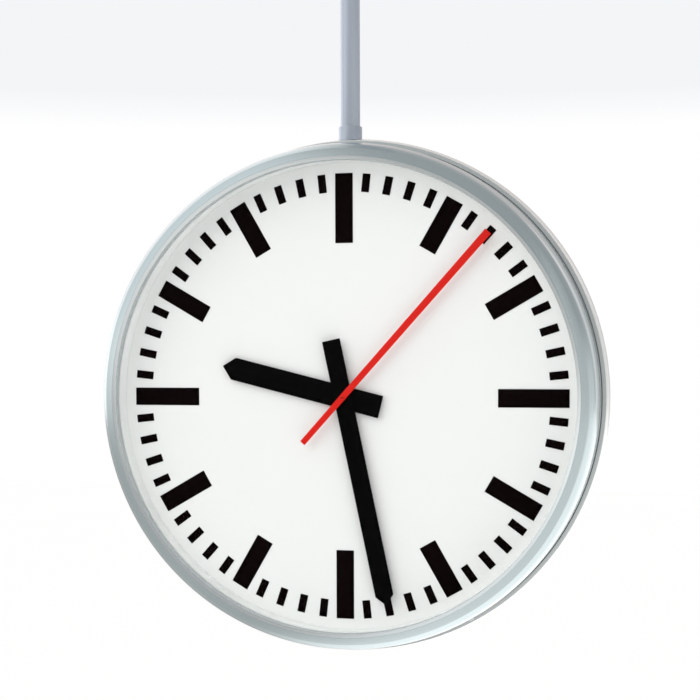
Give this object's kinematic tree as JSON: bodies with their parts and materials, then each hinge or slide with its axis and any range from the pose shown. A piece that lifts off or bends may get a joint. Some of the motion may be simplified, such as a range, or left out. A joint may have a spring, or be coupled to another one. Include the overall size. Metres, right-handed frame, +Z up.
{
  "type": "double-sided station clock",
  "caption": "Round double-sided station clock that hangs from the ceiling on a straight tube, with bar dials and turning hands.",
  "frame": {"origin": "centre of the ceiling flange's top face, where it meets the ceiling", "axes": "+Z up along the tube, -Y the way the front dial faces, +X to the right of someone who reads the front dial"},
  "size_m": [0.5574, 0.1306, 0.8574],
  "materials": {
    "case_metal": "satin silver-grey lacquer on spun and rolled sheet",
    "tube_metal": "satin silver-grey lacquer on steel pipe",
    "clear_glass": "clear flat float glass",
    "gasket_rubber": "matt black rubber",
    "dial_white": "matt white lacquered sheet with black bars",
    "reveal_white": "matt white moulding",
    "inner_steel": "zinc-plated",
    "fastener_steel": "zinc-plated",
    "movement_plastic": "black moulded housing",
    "brass": "turned",
    "hand_black": "matt black lacquered aluminium",
    "hand_red": "satin red lacquered aluminium"
  },
  "bodies": {
    "case": {"case_band": "case_metal", "front_bezel": "case_metal", "back_bezel": "case_metal", "pendulum_tube": "tube_metal", "tube_sleeve": "tube_metal", "ceiling_flange": "tube_metal", "front_glass": "clear_glass", "back_glass": "clear_glass", "front_glass_gasket": "gasket_rubber", "back_glass_gasket": "gasket_rubber", "front_dial": "dial_white", "back_dial": "dial_white", "front_reveal_ring": "reveal_white", "back_reveal_ring": "reveal_white", "front_dial_carrier": "inner_steel", "back_dial_carrier": "inner_steel", "saddle_block": "inner_steel", "front_bezel_screw_left": "fastener_steel", "front_bezel_screw_right": "fastener_steel", "back_bezel_screw_left": "fastener_steel", "back_bezel_screw_right": "fastener_steel", "sleeve_set_screw": "fastener_steel", "flange_set_screw": "fastener_steel", "tube_lock_nut": "fastener_steel", "front_movement": "movement_plastic", "back_movement": "movement_plastic", "terminal_block": "movement_plastic", "front_dial_nut": "brass", "back_dial_nut": "brass"},
    "front_hour_train": {"front_hour_hand": "hand_black", "front_hour_pipe": "brass"},
    "front_minute_train": {"front_minute_hand": "hand_black", "front_minute_pipe": "brass"},
    "front_second_train": {"front_second_hand": "hand_red", "front_second_arbor": "fastener_steel"},
    "back_hour_train": {"back_hour_hand": "hand_black", "back_hour_pipe": "brass"},
    "back_minute_train": {"back_minute_hand": "hand_black", "back_minute_pipe": "brass"},
    "back_second_train": {"back_second_hand": "hand_red", "back_second_arbor": "fastener_steel"}
  },
  "joints": [
    {"name": "front_minute_turn", "type": "hinge", "parent": "case", "child": "front_minute_train", "pos_m": [0, 0, -0.5787], "axis": [0, 1, 0], "continuous": true},
    {"name": "front_hour_turn", "type": "hinge", "parent": "case", "child": "front_hour_train", "pos_m": [0, 0, -0.5787], "axis": [0, 1, 0], "continuous": true},
    {"name": "front_second_turn", "type": "hinge", "parent": "case", "child": "front_second_train", "pos_m": [0, 0, -0.5787], "axis": [0, 1, 0], "continuous": true},
    {"name": "back_minute_turn", "type": "hinge", "parent": "case", "child": "back_minute_train", "pos_m": [0, 0, -0.5787], "axis": [0, -1, 0], "continuous": true},
    {"name": "back_hour_turn", "type": "hinge", "parent": "case", "child": "back_hour_train", "pos_m": [0, 0, -0.5787], "axis": [0, -1, 0], "continuous": true},
    {"name": "back_second_turn", "type": "hinge", "parent": "case", "child": "back_second_train", "pos_m": [0, 0, -0.5787], "axis": [0, -1, 0], "continuous": true}
  ],
  "couplings": [
    {"joint": "front_hour_turn", "follows": "front_minute_turn", "ratio": 0.083333},
    {"joint": "back_hour_turn", "follows": "back_minute_turn", "ratio": 0.083333}
  ]
}
